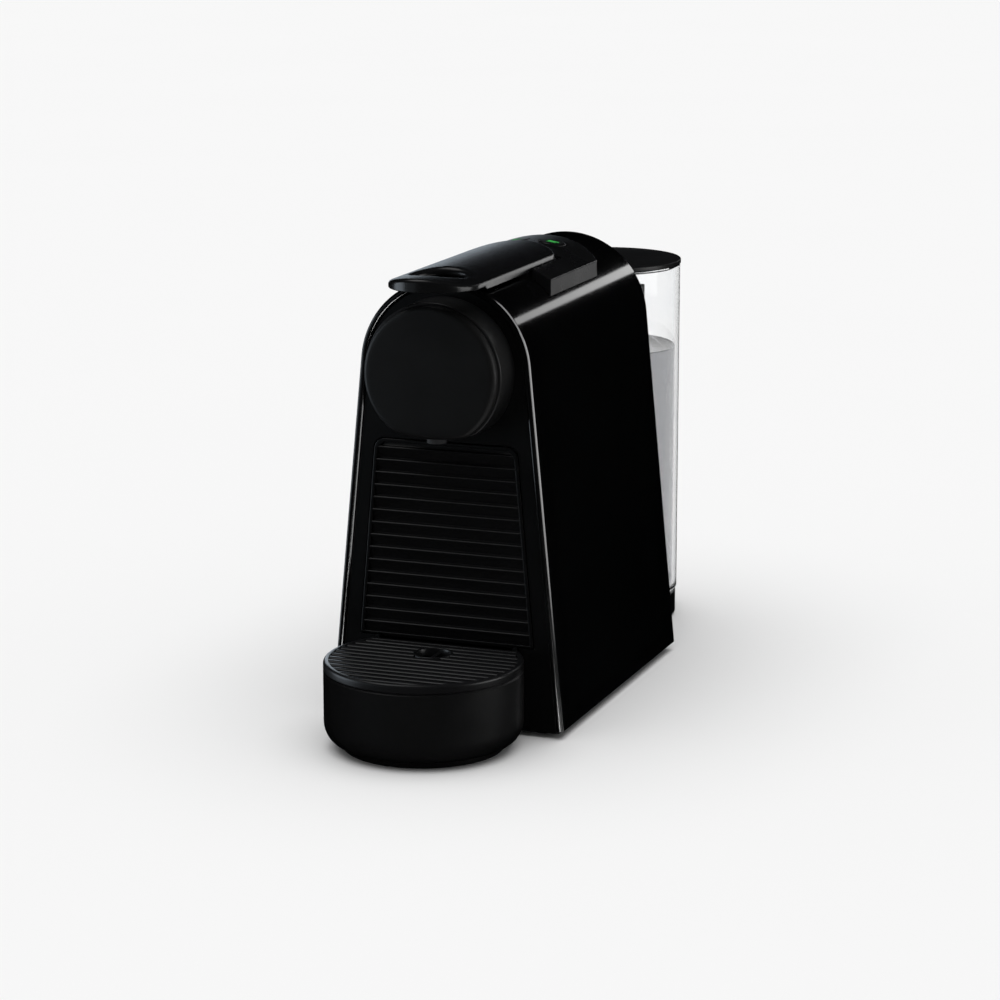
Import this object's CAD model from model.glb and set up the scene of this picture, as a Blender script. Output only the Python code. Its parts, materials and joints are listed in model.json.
import json
import math

import bmesh
import bpy
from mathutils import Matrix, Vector


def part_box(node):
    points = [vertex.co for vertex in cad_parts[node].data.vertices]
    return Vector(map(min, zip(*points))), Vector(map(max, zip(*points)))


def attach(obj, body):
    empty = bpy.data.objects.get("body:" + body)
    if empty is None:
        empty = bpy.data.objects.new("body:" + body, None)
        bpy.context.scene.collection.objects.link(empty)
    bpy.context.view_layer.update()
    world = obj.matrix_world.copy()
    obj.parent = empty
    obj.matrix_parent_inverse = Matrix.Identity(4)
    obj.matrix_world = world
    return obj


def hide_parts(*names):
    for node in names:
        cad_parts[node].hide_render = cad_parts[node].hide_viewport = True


MM = 0.001
# A plate's heights near TOP count down from its top surface, and small ones count up from its underside
TOP = 100.0

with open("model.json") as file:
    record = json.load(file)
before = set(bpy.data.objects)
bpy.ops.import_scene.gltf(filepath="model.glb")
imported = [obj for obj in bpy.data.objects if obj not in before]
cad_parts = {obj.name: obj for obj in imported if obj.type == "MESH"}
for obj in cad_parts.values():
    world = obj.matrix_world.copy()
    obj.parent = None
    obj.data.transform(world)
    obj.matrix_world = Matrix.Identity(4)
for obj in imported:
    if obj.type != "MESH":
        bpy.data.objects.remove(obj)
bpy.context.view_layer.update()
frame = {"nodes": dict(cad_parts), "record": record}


def box_mm(node):
    """Low and high corners of a CAD node's box, in millimetres."""
    low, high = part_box(node)
    return [v / MM for v in low], [v / MM for v in high]


# ---- sizes, in millimetres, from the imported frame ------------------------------

(_, body_y0, body_z0), (half_bottom, body_y1, body_top) = box_mm("side_cover_right")
WALL = 2.4
LIP, LIP_DEPTH = 3.3, 2.8  # width and depth of the covers' front edge
ARCH_R = 39.5
CROWN_R = 57.0  # curve of the lever's top, seen from the front
arch_z = body_top - ARCH_R
total_h = box_mm("lever_handle")[1][2]
drop = arch_z - body_z0
lean = math.acos(ARCH_R / math.hypot(half_bottom, drop)) - math.atan2(drop, half_bottom)
crown_z = total_h - CROWN_R


def half_w(z, inset=0.0):
    """Half width of the body's outline at height z, drawn in by inset."""
    return (ARCH_R - inset) / math.cos(lean) + (arch_z - z) * math.tan(lean)


# ---- materials ------------------------------------------------------------------


class Nodes:
    """Short calls to build a node material."""

    def __init__(self, name):
        self.mat = bpy.data.materials.new(name)
        self.mat.use_nodes = True
        self.tree = self.mat.node_tree
        self.shader = self.tree.nodes["Principled BSDF"]
        self.coord = self.tree.nodes.new("ShaderNodeTexCoord").outputs["Object"]

    def link(self, a, b):
        self.tree.links.new(a, b)

    def new(self, kind, **values):
        node = self.tree.nodes.new(kind)
        for key, value in values.items():
            node.inputs[key].default_value = value
        return node

    def noise(self, scale, detail=3.0, stretch=None):
        node = self.new("ShaderNodeTexNoise", Scale=scale, Detail=detail)
        source = self.coord
        if stretch:
            mapping = self.new("ShaderNodeMapping")
            mapping.inputs["Scale"].default_value = stretch
            self.link(source, mapping.inputs["Vector"])
            source = mapping.outputs["Vector"]
        self.link(source, node.inputs["Vector"])
        return node.outputs["Fac"]

    def spread(self, value, low, high, start=0.3, end=0.7):
        node = self.tree.nodes.new("ShaderNodeMapRange")
        for key, number in (("From Min", start), ("From Max", end), ("To Min", low), ("To Max", high)):
            node.inputs[key].default_value = number
        self.link(value, node.inputs["Value"])
        return node.outputs["Result"]

    def mix(self, fac, a, b):
        node = self.tree.nodes.new("ShaderNodeMix")
        node.data_type = "RGBA"
        node.inputs["A"].default_value = (*a, 1)
        node.inputs["B"].default_value = (*b, 1)
        self.link(fac, node.inputs["Factor"])
        return node.outputs["Result"]

    def bump(self, height, distance, strength=1.0, normal=None):
        node = self.new("ShaderNodeBump", Strength=strength, Distance=distance)
        self.link(height, node.inputs["Height"])
        if normal:
            self.link(normal, node.inputs["Normal"])
        return node.outputs["Normal"]


PLASTIC_IOR = 1.46


def plastic(name, dark, light, rough, grain=900.0, depth=0.00002, metallic=0.0, stretch=None):
    """Moulded plastic or metal: mottled colour, uneven roughness and a fine moulded grain."""
    n = Nodes(name)
    mottle = n.noise(28.0, 5.0, stretch)
    fine = n.noise(grain, 2.0, stretch)
    smudge = n.noise(70.0, 6.0)
    n.link(n.mix(n.spread(mottle, 0.0, 1.0), dark, light), n.shader.inputs["Base Color"])
    n.link(n.spread(smudge, rough[0], rough[1], 0.3, 0.675), n.shader.inputs["Roughness"])
    n.link(n.bump(fine, depth, 0.5, n.bump(mottle, depth * 4.0, 0.1)), n.shader.inputs["Normal"])
    n.shader.inputs["Metallic"].default_value = metallic
    n.shader.inputs["IOR"].default_value = PLASTIC_IOR
    return n.mat


def clear(name, tint, rough, ior, grain):
    """Clear plastic or water with faint unevenness."""
    n = Nodes(name)
    soft = n.noise(grain, 2.0)
    lighter = [min(1.0, c * 1.03) for c in tint]
    n.link(n.mix(n.spread(soft, 0.0, 1.0), tint, lighter), n.shader.inputs["Base Color"])
    n.link(n.spread(soft, rough * 0.6, rough * 1.4), n.shader.inputs["Roughness"])
    n.link(n.bump(soft, 0.00002, 0.2), n.shader.inputs["Normal"])
    n.shader.inputs["Transmission Weight"].default_value = 1.0
    n.shader.inputs["IOR"].default_value = ior
    return n.mat


def grey(v, blue=1.0):
    """A slightly bluish grey of linear value v."""
    return (v, v * (1.0 + 0.02 * blue), v * (1.0 + 0.12 * blue))


materials = {
    "shell_gloss": plastic("shell_gloss", grey(0.0012), grey(0.0018), (0.09, 0.12), 1500, 0.000004),
    "frame_satin": plastic("frame_satin", grey(0.0016), grey(0.0026), (0.32, 0.42), 2600, 0.00002),
    "cap_matte": plastic("cap_matte", grey(0.0028, 0.6), grey(0.004, 0.6), (0.46, 0.56), 3200, 0.00003),
    "ring_satin": plastic("ring_satin", grey(0.007, 0.5), grey(0.009, 0.5), (0.34, 0.42), 3000, 0.00002),
    "lever_gloss": plastic("lever_gloss", grey(0.004), grey(0.005), (0.23, 0.26), 2200, 0.000001),
    "housing_satin": plastic("housing_satin", grey(0.0035), grey(0.005), (0.26, 0.3), 2400, 0.000003),
    "button_satin": plastic("button_satin", grey(0.0035), grey(0.005), (0.28, 0.34), 2600, 0.000003),
    "inner_plastic": plastic("inner_plastic", grey(0.02), grey(0.03), (0.45, 0.6), 1800, 0.00004),
    "white_plastic": plastic("white_plastic", (0.55, 0.53, 0.47), (0.66, 0.64, 0.58), (0.35, 0.5), 1500),
    "steel": plastic("steel", (0.5, 0.5, 0.51), (0.66, 0.66, 0.68), (0.18, 0.34), 1800, 0.00001, 1.0,
                     stretch=(1, 12, 12)),
    "aluminium_cast": plastic("aluminium_cast", (0.45, 0.46, 0.47), (0.62, 0.63, 0.64), (0.35, 0.6), 1200,
                              0.00006, 1.0),
    "board_green": plastic("board_green", (0.02, 0.12, 0.06), (0.04, 0.2, 0.1), (0.3, 0.45), 2200, 0.00003),
    "rubber_black": plastic("rubber_black", grey(0.014), grey(0.022), (0.65, 0.85), 1600, 0.00006),
    "seal_red": plastic("seal_red", (0.25, 0.04, 0.03), (0.36, 0.07, 0.05), (0.5, 0.7), 1500, 0.00004),
    "hose_clear": plastic("hose_clear", (0.6, 0.63, 0.63), (0.72, 0.75, 0.75), (0.25, 0.4), 900, 0.00002),
    "pump_dark": plastic("pump_dark", grey(0.03), grey(0.05), (0.35, 0.5), 1700, 0.00004),
    "tank_clear": clear("tank_clear", (0.97, 0.98, 0.99), 0.03, 1.35, 40.0),
    "lid_satin": plastic("lid_satin", grey(0.007), grey(0.009), (0.3, 0.4), 2600, 0.00001),
    "tray_satin": plastic("tray_satin", grey(0.004), grey(0.006), (0.34, 0.44), 2600, 0.00003),
    "grid_satin": plastic("grid_satin", grey(0.005), grey(0.007), (0.28, 0.36), 2400, 0.000006),
    "rib_satin": plastic("rib_satin", grey(0.003), grey(0.004), (0.3, 0.38), 2400, 0.000006),
    "icon_green": plastic("icon_green", (0.03, 0.36, 0.06), (0.05, 0.5, 0.09), (0.35, 0.5), 2000, 0.00001),
    "water": clear("water", (0.34, 0.34, 0.35), 0.004, 1.33, 25.0),
}

# ---- mesh building --------------------------------------------------------------


CRISP = 35.0  # degrees: sharper edges than this are kept crisp


def finish_mesh(name, verts, faces, angle=CRISP):
    """A mesh object from millimetres, with shared vertices merged and crisp edges kept crisp."""
    mesh = bpy.data.meshes.new(name)
    mesh.from_pydata([Vector(v) * MM for v in verts], [], faces)
    bm = bmesh.new()
    bm.from_mesh(mesh)
    bmesh.ops.remove_doubles(bm, verts=bm.verts, dist=1e-6)
    bmesh.ops.dissolve_degenerate(bm, edges=bm.edges, dist=1e-7)
    bmesh.ops.recalc_face_normals(bm, faces=bm.faces)
    shade(bm, angle)
    bm.to_mesh(mesh)
    bm.free()
    obj = bpy.data.objects.new(name, mesh)
    bpy.context.scene.collection.objects.link(obj)
    return obj


def shade(bm, angle):
    """Smooth faces, with the edges sharper than angle kept crisp."""
    for f in bm.faces:
        f.smooth = True
    for e in bm.edges:
        e.smooth = len(e.link_faces) == 2 and e.calc_face_angle(0.0) < math.radians(angle)


def piece(obj, body, slot, *replaced, mat=None):
    """Ties obj to its body, slot and the CAD nodes that it stands for. mat overrides the slot's material."""
    obj.data.materials.clear()
    obj.data.materials.append(materials[mat or slot])
    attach(obj, body)
    if replaced:
        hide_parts(*replaced)


def loft(rings, round_trip=False):
    """Quads between closed rings of equal length, with capped ends.
    round_trip joins the last ring to the first instead."""
    n = len(rings[0])
    verts = [p for ring in rings for p in ring]
    faces = []
    last = len(rings) if round_trip else len(rings) - 1
    for a in range(last):
        b = (a + 1) % len(rings)
        for i in range(n):
            j = (i + 1) % n
            faces.append((a * n + i, a * n + j, b * n + j, b * n + i))
    if not round_trip:
        faces.append(tuple(range(n - 1, -1, -1)))
        faces.append(tuple((len(rings) - 1) * n + i for i in range(n)))
    return verts, faces


def lathe(profile, centre, n=128):
    """Turns a closed (r, z) profile about a vertical axis."""
    rings = []
    for k in range(n):
        a = 2.0 * math.pi * k / n
        rings.append([(centre[0] + r * math.cos(a), centre[1] + r * math.sin(a), z) for r, z in profile])
    return loft(rings, round_trip=True)


def corner(cx, cz, r, a0, a1, steps=6):
    """Points round a corner, from angle a0 to a1 in degrees."""
    out = []
    for k in range(steps + 1):
        a = math.radians(a0 + (a1 - a0) * k / steps)
        out.append((cx + r * math.cos(a), cz + r * math.sin(a)))
    return out


def circle(cx, cy, r, n=72, clockwise=False):
    """A circle of n points, clockwise for a hole."""
    pts = [(cx + r * math.cos(2 * math.pi * k / n), cy + r * math.sin(2 * math.pi * k / n)) for k in range(n)]
    return pts[::-1] if clockwise else pts


def drawn_in(loop, amounts):
    """A loop moved towards its material, which lies to the left of its direction."""
    out = []
    n = len(loop)
    for k, p in enumerate(loop):
        a, b = Vector(loop[k - 1]), Vector(loop[(k + 1) % n])
        p = Vector(p)
        u, v = (p - a).normalized(), (b - p).normalized()
        left = Vector((-(u + v).y, (u + v).x)).normalized()
        stretch = 1.0 / max(0.35, left.dot(Vector((-u.y, u.x))))
        out.append(tuple(p + left * amounts[k] * stretch))
    return out


def dense(points, step):
    """The loop with no stretch longer than step."""
    out = []
    for k, p in enumerate(points):
        q = points[(k + 1) % len(points)]
        parts = max(1, math.ceil(math.dist(p, q) / step))
        out += [(p[0] + (q[0] - p[0]) * i / parts, p[1] + (q[1] - p[1]) * i / parts) for i in range(parts)]
    return out


def plate(name, loops, top_r, bottom_r, place, cuts=(), steps=5):
    """A plate with rounded edges. loops: the outline counter-clockwise, then holes clockwise.
    top_r is a number, or a function of (loop index, point). place(x, y, h) gives the point in space.
    cuts are (axis, positions): the plate is sliced there so that it can follow a curve."""
    radius = top_r if callable(top_r) else (lambda i, p: top_r)
    bm = bmesh.new()
    quarter = [math.radians(90.0 * k / steps) for k in range(steps + 1)]
    ends = {0: [], 1: []}
    for i, loop in enumerate(loops):
        rt = [radius(i, p) for p in loop]
        rows = [([bottom_r * (1 - math.sin(a))] * len(loop), [bottom_r * (1 - math.cos(a))] * len(loop))
                for a in quarter]
        for a in quarter:
            rows.append(([r * (1 - math.cos(a)) for r in rt], [TOP - r * (1 - math.sin(a)) for r in rt]))
        rings = []
        for inset, height in rows:
            rings.append([bm.verts.new((x, y, h)) for (x, y), h in zip(drawn_in(loop, inset), height)])
        for a, b in zip(rings, rings[1:]):
            for k in range(len(loop)):
                j = (k + 1) % len(loop)
                bm.faces.new((a[k], a[j], b[j], b[k]))
        for end, ring in ((0, rings[0]), (1, rings[-1])):
            ends[end] += [bm.edges.get((ring[k], ring[(k + 1) % len(ring)])) for k in range(len(ring))]
    for edges in ends.values():
        bmesh.ops.triangle_fill(bm, edges=edges, use_beauty=True)
    for axis, positions in cuts:
        normal = Vector((1, 0, 0)) if axis == "x" else Vector((0, 1, 0))
        for v in positions:
            geom = bm.verts[:] + bm.edges[:] + bm.faces[:]
            bmesh.ops.bisect_plane(bm, geom=geom, plane_co=normal * v, plane_no=normal, dist=1e-4)
    for v in bm.verts:
        v.co = Vector(place(*v.co)) * MM
    bmesh.ops.remove_doubles(bm, verts=bm.verts, dist=1e-6)
    bmesh.ops.recalc_face_normals(bm, faces=bm.faces)
    shade(bm, CRISP)
    mesh = bpy.data.meshes.new(name)
    bm.to_mesh(mesh)
    bm.free()
    obj = bpy.data.objects.new(name, mesh)
    bpy.context.scene.collection.objects.link(obj)
    weigh = obj.modifiers.new("even_shading", "WEIGHTED_NORMAL")
    weigh.keep_sharp = True
    weigh.weight = 90
    return obj


def between(top, under):
    """A place function for a plate that lies between two surfaces, given as functions of (x, y)."""
    return lambda x, y, h: (x, y, top(x, y) - (TOP - h) if h > TOP / 2 else under(x, y) + h)


def steps_of(a, b, step):
    """Even positions from a to b, about one step apart."""
    n = max(1, round((b - a) / step))
    return [a + (b - a) * k / n for k in range(n + 1)]


def cut_away(obj, boxes):
    """Takes boxes (low, high corners) out of obj with exact booleans, applied at once."""
    for low, high in boxes:
        size = [h - l for l, h in zip(low, high)]
        bm = bmesh.new()
        bmesh.ops.create_cube(bm, size=1.0)
        for v in bm.verts:
            v.co = Vector([(l + s * (c + 0.5)) * MM for l, s, c in zip(low, size, v.co)])
        mesh = bpy.data.meshes.new("cutter")
        bm.to_mesh(mesh)
        bm.free()
        cutter = bpy.data.objects.new("cutter", mesh)
        bpy.context.scene.collection.objects.link(cutter)
        mod = obj.modifiers.new("cut", "BOOLEAN")
        mod.operation = "DIFFERENCE"
        mod.solver = "EXACT"
        mod.object = cutter
        bpy.context.view_layer.update()
        solid = bpy.data.meshes.new_from_object(obj.evaluated_get(bpy.context.evaluated_depsgraph_get()))
        obj.modifiers.clear()
        obj.data = solid
        bpy.data.objects.remove(cutter)
    bm = bmesh.new()
    bm.from_mesh(obj.data)
    shade(bm, CRISP)
    bm.to_mesh(obj.data)
    bm.free()


# ---- body -----------------------------------------------------------------------


def arch_line(inset, z0):
    """The body's outline in XZ, from the lower left to the lower right, drawn in by inset."""
    r = ARCH_R - inset
    deg = math.degrees(lean)
    right = [(half_w(z, inset), z) for z in steps_of(z0, arch_z + r * math.sin(lean), 12.0)][:-1]
    arc = corner(0, arch_z, r, deg, 180.0 - deg, 80)
    return [(-x, z) for x, z in right] + arc[::-1] + right[::-1]


def arched_strip(name, section, z0):
    """A strip that follows the arch. section holds (y, inset) points round its cross-section."""
    lines = [arch_line(i, z0) for _, i in section]
    rings = []
    for k in range(len(lines[0])):
        rings.append([(line[k][0], y, line[k][1]) for (y, _), line in zip(section, lines)])
    return finish_mesh(name, *loft(rings))


OUT_R, IN_R, BACK_R, INNER_R = 1.35, 1.2, 0.9, 0.4
lip_y1 = body_y0 + LIP_DEPTH
section = corner(body_y0 + OUT_R, OUT_R, OUT_R, 180, 270, 8) + [(lip_y1, 0.0), (lip_y1, LIP)]
section += corner(body_y0 + IN_R, LIP - IN_R, IN_R, 90, 180, 8)
piece(arched_strip("shell_lip", section, body_z0), "machine", "shell_gloss")
section = corner(body_y1 - BACK_R, BACK_R, BACK_R, -90, 0, 5)
section += corner(body_y1 - INNER_R, WALL - INNER_R, INNER_R, 0, 90, 3)
section += [(lip_y1, WALL), (lip_y1, 0.0)]
shell = arched_strip("body_shell", section, body_z0)
HOUSE_BOW = 15.0  # how far the button housing's rear bows out behind its sides
house_low, house_high = box_mm("button_housing")
house_y1 = house_high[1] - HOUSE_BOW
# The capsule slot, and the well under the button housing
SLOT_HALF, SLOT_Y0, WELL_HALF = 19.5, body_y0 + 8.5, 26.0
well_y0, well_y1 = house_low[1] + 3.0, house_y1 + 6.0
cut_away(shell, [
    ((-SLOT_HALF, SLOT_Y0, arch_z), (SLOT_HALF, well_y0 + 1.0, total_h)),
    ((-WELL_HALF, well_y0, arch_z), (WELL_HALF, well_y1, total_h)),
])
piece(shell, "machine", "shell_gloss", "side_cover_left", "side_cover_right")


def in_xz(y0, y1):
    """A plate standing in XZ between y0 (front) and y1."""
    return lambda x, z, h: (x, y0 + (TOP - h) if h > TOP / 2 else y1 - h, z)


tray_top = box_mm("drip_grid")[1][2]
BAY_INSET, BAY_FLARE, BAY_TOP, BAY_CORNER = 10.6, 1.3, 129.0, 5.0


def bay_w(z):
    """Half width of the bay's mouth at height z."""
    return half_w(z, BAY_INSET) + BAY_FLARE * (z - tray_top) / (BAY_TOP - tray_top)


def bay_loop(grow, z0):
    """Outline of the bay's mouth, clockwise from the lower left."""
    z1 = BAY_TOP + grow
    x1 = bay_w(BAY_TOP) + grow
    r = BAY_CORNER
    right = [(bay_w(z0) + grow, z0)] + corner(x1 - r, z1 - r, r, 5, 90, 8)
    return [(-x, z) for x, z in right] + right[::-1]


frame_low, frame_high = box_mm("front_frame")
FRAME_Z0, NOTCH_X, CHANNEL_R = 2.5, 34.0, 18.8
notch_z = tray_top + 0.8
frame_outer = arch_line(LIP + 0.1, FRAME_Z0)
frame_loop = frame_outer[::-1] + [(-NOTCH_X, FRAME_Z0), (-NOTCH_X, notch_z)]
frame_loop += bay_loop(0.3, notch_z) + [(NOTCH_X, notch_z), (NOTCH_X, FRAME_Z0)]
front = plate("front_panel", [dense(frame_loop, 3.0), circle(0, arch_z, CHANNEL_R, 64, True)], 0.35, 0.2,
              in_xz(frame_low[1], frame_high[1]))
piece(front, "machine", "frame_satin", "front_frame")

# ---- brewing head ----------------------------------------------------------------

cap_y = box_mm("head_cap")[0][1]
(_, ring_front, _), (_, ring_back, _) = box_mm("head_ring")
CAP_R = 30.5
CUT_R, CUT_DEPTH = 75.0, 27.5  # the underside's curve, and its distance below the head's axis
CUT_SOFT = 0.35  # rounding where that curve meets the circle


def head_radius(angle, r):
    """Distance from the head's axis to its edge: a circle whose underside is cut to a shallow curve."""
    cz = CUT_R - CUT_DEPTH
    rise = cz * math.sin(angle)
    far = rise + math.sqrt(max(0.0, rise ** 2 - cz * cz + CUT_R * CUT_R))
    return min(r, far) - CUT_SOFT * math.log1p(math.exp(-abs(r - far) / CUT_SOFT))


def head_ring(y, r, inset=0.0):
    """The head's edge at y, drawn in by inset."""
    n = 160
    out = []
    for k in range(n):
        a = 2 * math.pi * k / n
        d = head_radius(a, r) - inset
        out.append((d * math.cos(a), y, arch_z + d * math.sin(a)))
    return out


def head_piece(name, rows, round_trip=False):
    """A piece of the head. rows are (y, radius, inset)."""
    return finish_mesh(name, *loft([head_ring(*row) for row in rows], round_trip=round_trip), angle=28)


R_RING = CAP_R + 1.5
RING_EDGE = 0.7
tip_r = R_RING - 0.5
rows = [(ring_back, R_RING, 0.0), (ring_back - 5, R_RING - 0.16, 0.0), (ring_back - 10, R_RING - 0.33, 0.0)]
for a in range(0, 91, 15):
    turn = math.radians(a)
    y = ring_front + RING_EDGE - RING_EDGE * math.sin(turn)
    rows.append((y, tip_r, RING_EDGE - RING_EDGE * math.cos(turn)))
rows += [(ring_front, tip_r, 2.2), (ring_front + 1.2, tip_r, 2.9), (ring_back, tip_r, 3.4)]
piece(head_piece("head_housing", rows, True), "machine", "ring_satin", "head_ring")

CAP_EDGE = 2.4
depths = [(0.0, 26.0), (0.02, 20.0), (0.1, 10.0), (0.28, 3.4)]
for a in range(10, 91, 10):
    turn = math.radians(a)
    depths.append((0.3 + CAP_EDGE * (1 - math.cos(turn)), CAP_EDGE * (1 - math.sin(turn))))
depths += [(4.0, 0.0), (4.25, 0.25), (4.3, 1.2), (4.7, 1.4), (8.0, 3.4), (8.0, 26.0)]
rows = [(cap_y + depth, CAP_R, inset) for depth, inset in depths]
piece(head_piece("head_cap_disc", rows), "machine", "cap_matte", "head_cap")

# ---- lever -----------------------------------------------------------------------

LEVER_HALF, LEVER_REAR_R, LEVER_T = 20.2, 22.0, 3.6
lever_low, lever_high = box_mm("lever_handle")
front_c = lever_low[1] + LEVER_HALF
rear_c = lever_high[1] - LEVER_REAR_R
FINGER_Y = body_y0 - 4.6
FINGER_R, FINGER_ROUND = 12.2, 2.6
lip_z = total_h - 6.0
UNDER_Y0, UNDER_RUN = body_y0 - 3.2, 2.6  # where the underside turns from flat to curved


def crown(r):
    """Height of a round crown of radius r about the lever's crown line."""
    return lambda x, y: crown_z + math.sqrt(r * r - x * x)


def lever_under(x, y):
    """The lever's underside: parallel to its top over the body, and flat in front of it."""
    curved = crown_z + math.sqrt((CROWN_R - LEVER_T) ** 2 - x * x)
    blend = min(1.0, max(0.0, (y - UNDER_Y0) / UNDER_RUN))
    blend = blend * blend * (3 - 2 * blend)
    return lip_z + (curved - lip_z) * blend


rear_end = math.degrees(math.asin(LEVER_HALF / LEVER_REAR_R))
outline = corner(0, front_c, LEVER_HALF, 180, 360, 60)
outline += corner(0, rear_c, LEVER_REAR_R, 90 - rear_end, 90 + rear_end, 30)
lever_top = crown(CROWN_R)


def lever_round(i, p):
    """Rounding of the lever's top edge: even round the finger hole, and wider towards the tip."""
    if i:
        return FINGER_ROUND
    t = min(1.0, max(0.0, (front_c + 4.0 - p[1]) / 20.0))
    return 0.5 + 1.5 * t * t * (3 - 2 * t)


slices = [("x", steps_of(-19, 19, 1.25)), ("y", [body_y0 - d for d in (3.2, 2.3, 1.4, 0.6)])]
lever = plate("lever_top", [dense(outline, 2.0), circle(0, FINGER_Y, FINGER_R, 96, True)], lever_round, 0.5,
              between(lever_top, lever_under), slices)
piece(lever, "lever", "lever_gloss", "lever_handle")

# ---- button housing and buttons -----------------------------------------------------

HOUSE_R = CROWN_R - 1.8
house_half = house_high[0]
bow = (house_half ** 2 + HOUSE_BOW ** 2) / (2 * HOUSE_BOW)
bow_end = math.degrees(math.asin(house_half / bow))
# The notch that the lever's rear lies in, and the pivot it turns about
notch = LEVER_HALF + 0.8
notch_r = LEVER_REAR_R + 1.0
pivot_y, pivot_z = body_y0 + 84.0, total_h - 10.5
UNDERCUT = 1.9
NOTCH_BACK = 7.8
notch_end = math.degrees(math.asin(min(1.0, notch / notch_r)))
loop = [(notch, house_low[1]), (house_half, house_low[1])]
loop += corner(0, house_high[1] - bow, bow, 90 - bow_end, 90 + bow_end, 40)
loop += [(-house_half, house_low[1]), (-notch, house_low[1])]
notch_arc = corner(0, rear_c, notch_r, 90 + notch_end, 90 - notch_end, 30)
loop += [(x, max(y, pivot_y + NOTCH_BACK)) for x, y in notch_arc]
BUTTON_X, BUTTON_R = 9.0, 6.2
button_low, button_high = box_mm("button_lungo")
button_y = (button_low[1] + button_high[1]) / 2


def shell_top(x, y):
    """Height of the shell's top."""
    return arch_z + math.sqrt(ARCH_R ** 2 - x * x) + 0.06


def deck_place(x, y, h):
    """A point between the shell and the crown, with the wall behind the lever undercut for its swing."""
    if h < TOP / 2 and y > pivot_y + NOTCH_BACK - 0.4 and math.hypot(x, y - rear_c) < notch_r + 1.0:
        y += UNDERCUT
    return between(crown(HOUSE_R), shell_top)(x, y, h)


holes = [circle(s * BUTTON_X, button_y, BUTTON_R + 0.45, 48, True) for s in (-1, 1)]
housing = plate("button_deck", [dense(loop, 2.0)] + holes, 0.45, 0.1, deck_place,
                [("x", steps_of(-29, 29, 1.6))])
piece(housing, "machine", "housing_satin", "button_housing")

# The two ears that carry the lever's pivot
EAR_X0, EAR_X1, EAR_HALF = 21.0, 25.4, 7
for side in (-1, 1):
    x0, x1 = sorted((side * EAR_X0, side * EAR_X1))
    y0, y1 = pivot_y - EAR_HALF, pivot_y + EAR_HALF
    ear_loop = [(x0, y0), (x1, y0), (x1, y1), (x0, y1)]
    ear = plate("pivot_ear_" + ("left" if side < 0 else "right"), [dense(ear_loop, 4.0)], 0.4, 0.6,
                between(lambda x, y: shell_top(x, y) - 0.02, lambda x, y: pivot_z - 8.0))
    piece(ear, "machine", "housing_satin")

# The cup marked on each button, about the button's centre. The short drink's is the smaller.
CUP = [(-1.3, -1.1), (1.0, -1.1), (1.6, -0.4), (1.8, 1.3), (-2.1, 1.3), (-1.9, -0.4)]
SAUCER = [(-2.3, -2.0), (2.1, -2.0), (2.1, -1.5), (-2.3, -1.5)]
HANDLE_X, HANDLE_Y, HANDLE_R, HANDLE_HOLE_R = 2.2, 0.35, 0.95, 0.5
button_crown = crown(HOUSE_R + 0.3)
on_top = between(lambda x, y: button_crown(x, y) + 0.1, lambda x, y: button_crown(x, y) - 0.15)
for name, side, s in (("espresso", -1, 0.72), ("lungo", 1, 1.0)):
    cx = side * BUTTON_X
    button = plate("button_top_" + name, [circle(cx, button_y, BUTTON_R, 64)], 0.7, 0.3,
                   between(button_crown, lambda x, y: button_low[2]),
                   [("x", [cx + d for d in steps_of(-5, 5, 1.0)])])
    piece(button, name + "_button", "button_satin", "button_" + name)
    cup = [(cx + s * x, button_y + s * y) for x, y in CUP]
    handle = circle(cx + s * HANDLE_X, button_y + HANDLE_Y * s, HANDLE_R * s, 24)
    hole = circle(cx + s * HANDLE_X, button_y + HANDLE_Y * s, HANDLE_HOLE_R * s, 24, True)
    saucer = [(cx + s * x, button_y + s * y) for x, y in SAUCER]
    for part, loops in (("cup", [cup]), ("handle", [handle, hole]), ("saucer", [saucer])):
        mark = plate(f"mark_{name}_{part}", loops, 0.05, 0.02, on_top, steps=2)
        piece(mark, name + "_button", "button_satin", mat="icon_green")

# ---- drip tray, grid and capsule container ---------------------------------------------

tray_low, tray_high = box_mm("tray_base")
TRAY_R = tray_high[0]
tray_y = tray_low[1] + TRAY_R
rear_cut = body_y0 - 0.4
rim = tray_top - 4.0  # height of the tray's rim, under the grid


def half_turned(name, profile, y_max, n=192):
    """A turned piece with its rear sliced off flat."""
    verts, faces = lathe(profile, (0, tray_y), n)
    obj = finish_mesh(name, verts, faces)
    bm = bmesh.new()
    bm.from_mesh(obj.data)
    geom = bm.verts[:] + bm.edges[:] + bm.faces[:]
    cut = bmesh.ops.bisect_plane(bm, geom=geom, plane_co=(0, y_max * MM, 0), plane_no=(0, 1, 0),
                                 clear_outer=True)
    edges = [e for e in cut["geom_cut"] if isinstance(e, bmesh.types.BMEdge)]
    bmesh.ops.triangle_fill(bm, edges=edges, use_beauty=True)
    bmesh.ops.recalc_face_normals(bm, faces=bm.faces)
    shade(bm, CRISP)
    bm.to_mesh(obj.data)
    bm.free()
    return obj


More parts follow.
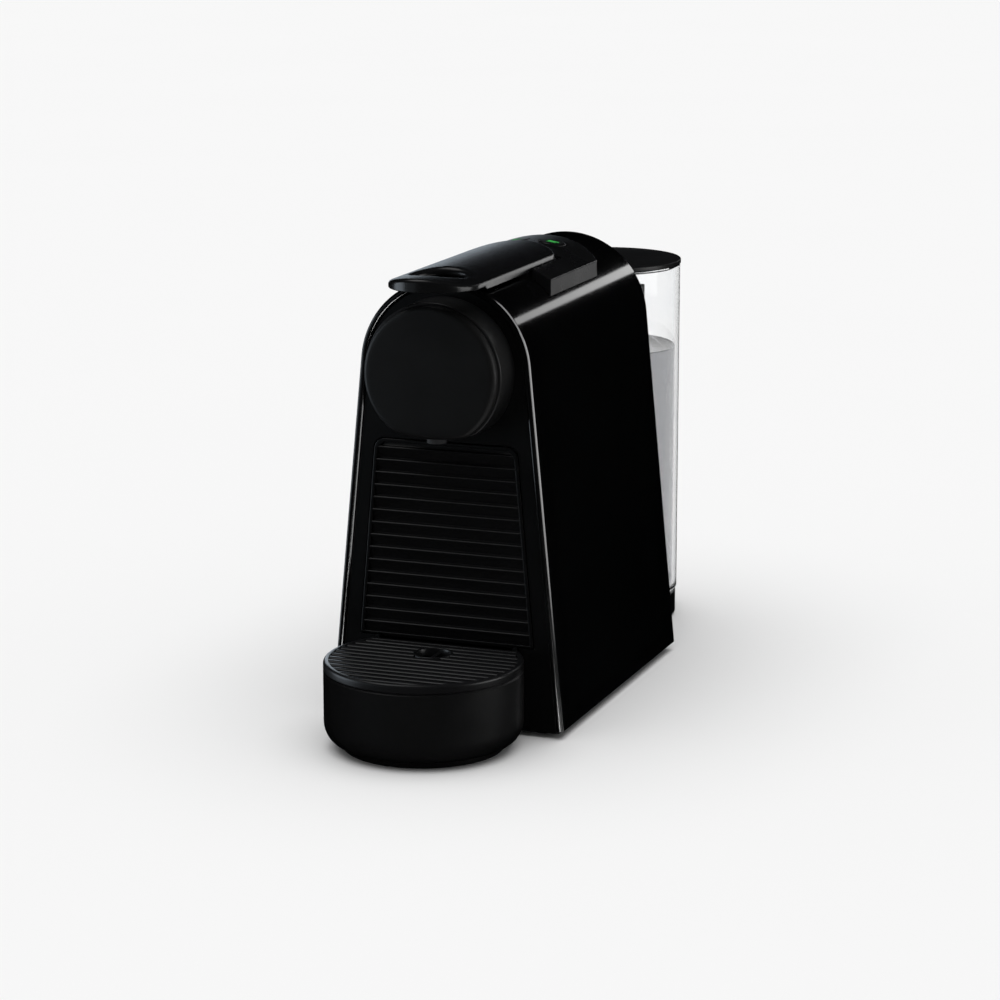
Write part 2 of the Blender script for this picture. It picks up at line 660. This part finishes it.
# The tray: a flat foot, a quarter ellipse up to an upright wall, and a rim
BOWL_W, BOWL_H = 7.0, 9.0
profile = [(0.01, 0.0), (TRAY_R - 8.6, 0.0)] + corner(TRAY_R - 8.6, 0.5, 0.5, -90, 0, 3)
profile += [(TRAY_R - 8.0, 3.0)]
for a in range(6, 91, 7):
    turn = math.radians(a)
    profile.append((TRAY_R - BOWL_W + BOWL_W * math.sin(turn), 12.0 - BOWL_H * math.cos(turn)))
profile += [(TRAY_R, 14.0), (TRAY_R, rim - 0.9), (TRAY_R - 0.7, rim - 0.1)]
profile += [(TRAY_R - 1.6, rim - 0.05), (TRAY_R - 2.0, rim - 0.5), (TRAY_R - 2.0, 12.5)]
profile += [(TRAY_R - 5.0, 6.0), (TRAY_R - 10.0, 3.0), (0.01, 3.0)]
piece(half_turned("drip_tray", profile, rear_cut), "drip_unit", "tray_satin", "tray_base")

# The trough behind the tray, which runs under the capsule container, and its end wall
HALF_TROUGH = 33.5
trough_y1 = tray_high[1]
wall_top = tray_high[2]
section = [(-HALF_TROUGH, 1.6), (-HALF_TROUGH + 0.6, 1.0), (HALF_TROUGH - 0.6, 1.0), (HALF_TROUGH, 1.6)]
section += [(HALF_TROUGH, wall_top - 0.4), (HALF_TROUGH - 0.4, wall_top), (HALF_TROUGH - 1.6, wall_top)]
section += [(HALF_TROUGH - 2.0, wall_top - 0.4), (HALF_TROUGH - 2.0, 3.4), (HALF_TROUGH - 2.6, 3.0)]
section += [(-x, z) for x, z in section[::-1][:6]]
rings = [[(x, y, z) for x, z in section] for y in (rear_cut, trough_y1 - 2.0)]
piece(finish_mesh("tray_trough", *loft(rings)), "drip_unit", "tray_satin")
end_loop = [(-HALF_TROUGH, 1.0), (HALF_TROUGH, 1.0), (HALF_TROUGH, wall_top), (-HALF_TROUGH, wall_top)]
end_wall = plate("tray_trough_end", [dense(end_loop, 6.0)], 0.3, 0.4, in_xz(trough_y1 - 2.0, trough_y1))
piece(end_wall, "drip_unit", "tray_satin")

# The grid: a rim, bars, a floor with holes, a collar round the drain and a bar along the rear
grid_back = body_y0 - 0.8
profile = [(TRAY_R - 2.6, rim + 0.1), (TRAY_R - 0.3, rim + 0.1), (TRAY_R, rim + 0.5)]
profile.append((TRAY_R, tray_top - 1.5))
profile += corner(TRAY_R - 1.5, tray_top - 1.5, 1.5, 0, 90, 8)[1:]
profile += [(TRAY_R - 2.2, tray_top - 0.1), (TRAY_R - 2.7, tray_top - 0.6), (TRAY_R - 2.9, rim + 1.4)]
piece(half_turned("grid_rim", profile, grid_back), "grid", "grid_satin", "drip_grid")

PITCH, BAR = 5.27, 3.2  # spacing and width of the grid's bars
DRAIN_Y, DRAIN_R, WEB = tray_y + 11.0, 8.0, 1.0


def spans(y):
    """Stretches of a bar at y that lie outside the drain."""
    reach = math.sqrt(max(0.0, (TRAY_R - 2.3) ** 2 - (y - tray_y) ** 2))
    w = math.sqrt(max(0.0, (DRAIN_R + 0.5) ** 2 - (y - DRAIN_Y) ** 2))
    return [(-reach, -w), (w, reach)] if w > 2.0 else [(-reach, reach)]


bars = [(tray_y + PITCH * k, a, b) for k in range(-7, 5) for a, b in spans(tray_y + PITCH * k)]
verts, faces = [], []
half = BAR / 2
for y, a, b in bars:
    line = [(y - half, rim + 1.7), (y + half, rim + 1.7), (y + half, tray_top - 1.1)]
    line += [(y + half * math.cos(math.radians(d)), tray_top - 1.1 + 0.9 * math.sin(math.radians(d)))
             for d in range(12, 169, 12)]
    line.append((y - half, tray_top - 1.1))
    v, f = loft([[(x, p[0], p[1]) for p in line] for x in (a, b)])
    faces += [tuple(k + len(verts) for k in q) for q in f]
    verts += v
piece(finish_mesh("grid_bars", verts, faces), "grid", "grid_satin")

floor_loop = [p for p in circle(0, tray_y, TRAY_R - 1.2, 144) if p[1] < grid_back - 0.2]
start = max(range(len(floor_loop)), key=lambda k: math.dist(floor_loop[k], floor_loop[k - 1]))
floor_loop = floor_loop[start:] + floor_loop[:start]
web_deg = math.degrees(math.asin(WEB / (DRAIN_R - 0.5)))
# The floor's holes: two half-round wells with a web between them, and slits between the bars
SLIT_X0, SLIT_X1 = 10.5, 34.0
wells = []
for start in (-90 + web_deg, 90 + web_deg):
    wells.append(corner(0, DRAIN_Y, DRAIN_R - 0.5, start, start + 180 - 2 * web_deg, 24)[::-1])
slits = []
for k in range(-7, 4):
    y = tray_y + PITCH * (k + 0.5)
    reach = math.sqrt(max(0.0, (TRAY_R - 4.5) ** 2 - (y - tray_y) ** 2))
    for side in (-1, 1):
        a, b = sorted((side * SLIT_X0, side * min(reach, SLIT_X1)))
        if reach > 15.0:
            slits.append((corner(b - 0.6, y, 0.6, -90, 90, 4) + corner(a + 0.6, y, 0.6, 90, 270, 4))[::-1])
deck = plate("grid_floor", [dense(floor_loop, 4.0)] + wells + slits, 0.25, 0.1,
             between(lambda x, y: rim + 1.8, lambda x, y: rim + 0.1), steps=2)
piece(deck, "grid", "grid_satin")
collar = [(DRAIN_R - 0.6, rim + 0.6), (DRAIN_R + 0.9, rim + 0.6), (DRAIN_R + 0.9, tray_top - 0.9)]
collar += corner(DRAIN_R + 0.3, tray_top - 0.9, 0.6, 0, 180, 8)[1:] + [(DRAIN_R - 0.5, tray_top - 1.4)]
piece(finish_mesh("grid_drain_collar", *lathe(collar, (0, DRAIN_Y), 96)), "grid", "grid_satin")
back_x = math.sqrt((TRAY_R - 1.0) ** 2 - (grid_back - tray_y) ** 2)
back_loop = [(-back_x, grid_back - 2.4), (back_x, grid_back - 2.4), (back_x, grid_back), (-back_x, grid_back)]
back = plate("grid_rear_bar", [dense(back_loop, 3.0)], 0.5, 0.2,
             between(lambda x, y: tray_top - 0.05, lambda x, y: rim + 0.1))
piece(back, "grid", "grid_satin")

# The capsule container's face: a rim round sixteen rounded ribs, and a lip at its foot
face_low, face_high = box_mm("container_front")
Z0 = face_low[2]
RIB_TOP, RIB_PITCH, RIBS = 125.0, 5.66, 16
MARGIN, FACE_LIP = 1.5, 31.0
outer, inner = bay_loop(0.0, Z0)[::-1], bay_loop(-MARGIN, Z0 + 1.0)
rim_face = plate("container_rim", [dense(outer, 2.5), dense(inner, 2.5)], 0.4, 0.2,
                 in_xz(face_low[1], face_high[1]))
piece(rim_face, "capsule_container", "frame_satin", "container_front")
front_y = face_low[1]
line = [(face_high[1] - 0.2, RIB_TOP + 3.6), (front_y + 1.3, RIB_TOP + 3.6), (front_y + 1.3, RIB_TOP + 0.9)]
for k in range(RIBS):
    z = RIB_TOP - RIB_PITCH * k
    line.append((front_y + 1.0, z + 0.55))
    line += [(front_y + 0.6 - 0.6 * math.cos(math.radians(a)), z + 0.55 * math.sin(math.radians(a)))
             for a in (80, 60, 40, 20, 0, -25, -50)]
    line += [(front_y + 0.6, z - 1.1), (front_y + 1.3, z - 2.6)]
    line += [(front_y + 1.9, z - 4.3), (front_y + 1.9, z - 4.7)]
line = [p for p in line if p[1] > Z0 + 0.4]
line += [(front_y + 1.6, Z0 + 0.4), (face_high[1] - 0.2, Z0 + 0.4)]
rings = []
for t in steps_of(-1.0, 1.0, 0.1):
    rings.append([(t * (bay_w(z) - MARGIN + 0.3), y, z) for y, z in line])
ribs = finish_mesh("container_ribs", *loft(rings), angle=50)
piece(ribs, "capsule_container", "frame_satin", mat="rib_satin")
z0, z1 = tray_top + 0.25, Z0 + 0.8
lip_loop = [(-FACE_LIP, z0), (FACE_LIP, z0), (FACE_LIP, z1), (-FACE_LIP, z1)]
lip = plate("container_lip", [dense(lip_loop, 3.0)], 0.2, 0.1, in_xz(front_y + 1.2, face_high[1]))
piece(lip, "capsule_container", "frame_satin")

# ---- water tank ----------------------------------------------------------------------

tank_low, tank_high = box_mm("tank_body")
tank_y = (tank_low[1] + tank_high[1]) / 2
TANK_R = tank_high[0]
z0, z1 = tank_low[2], tank_high[2]
profile = [(0.01, z0), (TANK_R - 2.4, z0)] + corner(TANK_R - 2.2, z0 + 2.2, 2.2, -80, 0, 6)
profile += [(TANK_R, z1 - 0.4), (TANK_R - 0.4, z1), (TANK_R - 1.6, z1), (TANK_R - 2.0, z1 - 0.4)]
profile += corner(TANK_R - 4.0, z0 + 4.0, 2.0, 0, -90, 6) + [(0.01, z0 + 2.0)]
piece(finish_mesh("tank_wall", *lathe(profile, (0, tank_y), 160)), "water_tank", "tank_clear", "tank_body")
WATER_Z = 137.0  # the water's level
r = TANK_R - 2.06
profile = [(0.01, z0 + 2.1)] + corner(r - 2.0, z0 + 4.1, 2.0, -90, 0, 6)
profile += [(r, WATER_Z + 0.5), (r - 0.5, WATER_Z + 0.12), (r - 1.2, WATER_Z), (0.01, WATER_Z)]
piece(finish_mesh("tank_water", *lathe(profile, (0, tank_y), 160)), "water_tank", "tank_clear", mat="water")

r, _, t = box_mm("tank_lid")[1]
profile = [(0.01, t - 0.55), (r - 3.2, t - 0.55), (r - 2.4, t - 0.5), (r - 1.9, t - 0.1)]
profile += [(r - 1.5, t), (r - 0.7, t)] + corner(r - 0.6, t - 0.6, 0.6, 90, 0, 4)
profile += [(r, t - 2.0), (r - 0.3, t - 2.4), (TANK_R - 2.4, t - 2.4)]
profile += [(TANK_R - 2.4, t - 3.6), (TANK_R - 2.8, t - 4.0), (TANK_R - 3.8, t - 4.0)]
profile += [(TANK_R - 4.2, t - 3.6), (TANK_R - 4.2, t - 2.6), (0.01, t - 2.6)]
piece(finish_mesh("tank_lid_disc", *lathe(profile, (0, tank_y), 160)), "lid", "lid_satin", "tank_lid")

# ---- CAD nodes that stay ---------------------------------------------------------------

slot_of = {s["node"]: s["material_slot"] for s in frame["record"]["subparts"]}
for name, obj in frame["nodes"].items():
    obj.data.materials.clear()
    obj.data.materials.append(materials[slot_of[name]])

# CAD nodes whose edges get a small bevel
SOFTENED = ("rear_panel", "tank_cradle", "tank_seat", "base_plate", "cord_gland", "container_bin",
            "coffee_outlet")
for name in SOFTENED:
    obj = frame["nodes"][name]
    weld = obj.modifiers.new("weld", "WELD")
    weld.merge_threshold = 1e-6
    mod = obj.modifiers.new("edges", "BEVEL")
    mod.width = 0.0005
    mod.segments = 2
    mod.limit_method = "ANGLE"
    mod.angle_limit = math.radians(50)

# ---- floor, light and camera -------------------------------------------------------------

bm = bmesh.new()
bmesh.ops.create_grid(bm, x_segments=2, y_segments=2, size=12.0)
mesh = bpy.data.meshes.new("floor")
bm.to_mesh(mesh)
bm.free()
floor = bpy.data.objects.new("floor", mesh)
bpy.context.scene.collection.objects.link(floor)
floor.visible_shadow = False
floor.visible_glossy = False  # like black cloth round the part: the pale floor isn't mirrored in it
paint = Nodes("floor")
pale = paint.mix(paint.noise(3.0), (0.86, 0.86, 0.86), (0.87, 0.87, 0.87))
paint.link(pale, paint.shader.inputs["Base Color"])
paint.shader.inputs["Roughness"].default_value = 0.9
paint.shader.inputs["Specular IOR Level"].default_value = 0.0
mesh.materials.append(paint.mat)

world = bpy.data.worlds.new("studio")
bpy.context.scene.world = world
world.use_nodes = True
world.cycles_visibility.glossy = False
tree = world.node_tree
backdrop = tree.nodes["Background"]
path = tree.nodes.new("ShaderNodeLightPath")
seen = tree.nodes.new("ShaderNodeMath")
seen.operation = "MAXIMUM"
level = tree.nodes.new("ShaderNodeMapRange")
level.inputs["To Min"].default_value = 0.35
level.inputs["To Max"].default_value = 1.0
tree.links.new(path.outputs["Is Camera Ray"], seen.inputs[0])
tree.links.new(path.outputs["Is Transmission Ray"], seen.inputs[1])
tree.links.new(seen.outputs[0], level.inputs["Value"])
tree.links.new(level.outputs["Result"], backdrop.inputs["Strength"])
backdrop.inputs["Color"].default_value = (1.0, 1.0, 1.0, 1)


def softbox(name, at, look, size, radiance, colour=(1, 1, 1), roll=0.0):
    """An area light of the given radiance that shows only as a reflection."""
    light = bpy.data.lights.new(name, "AREA")
    light.shape = "RECTANGLE"
    light.size, light.size_y = size
    light.energy = radiance * math.pi * size[0] * size[1]
    light.color = colour
    obj = bpy.data.objects.new(name, light)
    bpy.context.scene.collection.objects.link(obj)
    obj.location = at
    obj.rotation_euler = (Vector(look) - Vector(at)).to_track_quat("-Z", "Y").to_euler()
    obj.rotation_euler.rotate_axis("Z", math.radians(roll))
    obj.visible_camera = False
    obj.visible_diffuse = False
    obj.visible_transmission = False
    return obj


sky = bpy.data.lights.new("overhead", "SUN")
sky.energy = 2.3
sky.angle = math.radians(80)
sun = bpy.data.objects.new("overhead", sky)
bpy.context.scene.collection.objects.link(sun)
sun.visible_glossy = False


def only_on(light, *names, state="INCLUDE"):
    """Keeps a light to the named pieces, or with state EXCLUDE off them."""
    chosen = bpy.data.collections.new(light.name + "_only")
    for name in names:
        chosen.objects.link(bpy.data.objects[name])
    for member in chosen.collection_objects:
        member.light_linking.link_state = state
    light.light_linking.receiver_collection = chosen


centre = (0.03, -0.01, 0.18)
BLUE = (0.8, 0.9, 1.0)
TOP_PIECES = ("lever_top", "button_deck", "button_top_espresso", "button_top_lungo")
GRID_PIECES = ("grid_rim", "grid_bars", "grid_floor", "grid_drain_collar")
softbox("shoulder_strip", (0.65, 2.27, 0.808), centre, (2.2, 0.15), 2.0, roll=-32)
only_on(softbox("right_box", (0.95, 0.05, 0.26), (0.0, -0.05, 0.15), (0.6, 0.5), 2.6),
        "body_shell", state="EXCLUDE")
softbox("front_left_box", (-0.75, -0.95, 0.15), centre, (0.6, 0.5), 0.25, BLUE)
only_on(softbox("left_box", (-1.0, -0.3, 0.12), centre, (0.6, 0.6), 2.4, BLUE),
        "drip_tray", state="EXCLUDE")
softbox("top_box", (-0.45, -0.25, 1.25), centre, (0.7, 0.7), 1.6)
only_on(softbox("rear_left_box", (-0.5, 1.25, 0.2), (0, 0, 0.2), (0.8, 0.3), 0.8, BLUE), *TOP_PIECES)
only_on(softbox("grid_glow", (-0.62, 1.25, 0.32), (0, -0.1, 0.04), (0.7, 0.5), 2.2, BLUE), *GRID_PIECES)
for name, side in (("side_fill_right", 1), ("side_fill_left", -1)):
    only_on(softbox(name, (side * 1.2, 0.4, -0.2), (0, 0, 0.1), (1.3, 0.6), 0.5), "body_shell")
only_on(softbox("rim_right", (1.0, -0.2, 0.28), centre, (1.7, 0.72), 6.5), "shell_lip")
only_on(softbox("rim_upper", (0.8, -0.1, 0.92), centre, (1.3, 0.7), 6.0), "shell_lip")
only_on(softbox("rim_low", (1.0, -0.2, -0.36), centre, (1.7, 0.34), 6.5), "shell_lip")
only_on(softbox("rim_front", (0.13, -0.98, -0.39), (-0.035, -0.09, 0.18), (0.7, 0.28), 28.0), "shell_lip")
only_on(softbox("ring_below", (0.5, -0.45, -0.5), centre, (0.9, 0.8), 0.7), "head_housing", "head_cap_disc")
only_on(softbox("rib_glow", (-0.3, -0.74, 0.76), (0.02, -0.09, 0.09), (0.8, 0.4), 1.2), "container_ribs")
only_on(softbox("housing_glow", (0.5, 1.3, 0.08), (0.03, 0, 0.19), (0.5, 0.35), 0.55), "button_deck")
only_on(softbox("lever_glow", (0.5, 1.3, 0.12), (0.03, 0, 0.2), (0.5, 0.35), 1.8), "lever_top")

CAM_AZ, CAM_EL, CAM_DIST = math.radians(20.51), math.radians(12.67), 1.3683
target = Vector((0.02738, -0.093, 0.10585))
camera = bpy.data.cameras.new("camera")
camera.lens = 113.8
camera.sensor_width = 36.0
camera.shift_x = -0.00375
cam = bpy.data.objects.new("camera", camera)
bpy.context.scene.collection.objects.link(cam)
cam.location = target + CAM_DIST * Vector((math.sin(CAM_AZ) * math.cos(CAM_EL),
                                           -math.cos(CAM_AZ) * math.cos(CAM_EL), math.sin(CAM_EL)))
cam.rotation_euler = (target - cam.location).to_track_quat("-Z", "Y").to_euler()
bpy.context.scene.camera = cam
bpy.context.scene.view_settings.view_transform = "Standard"
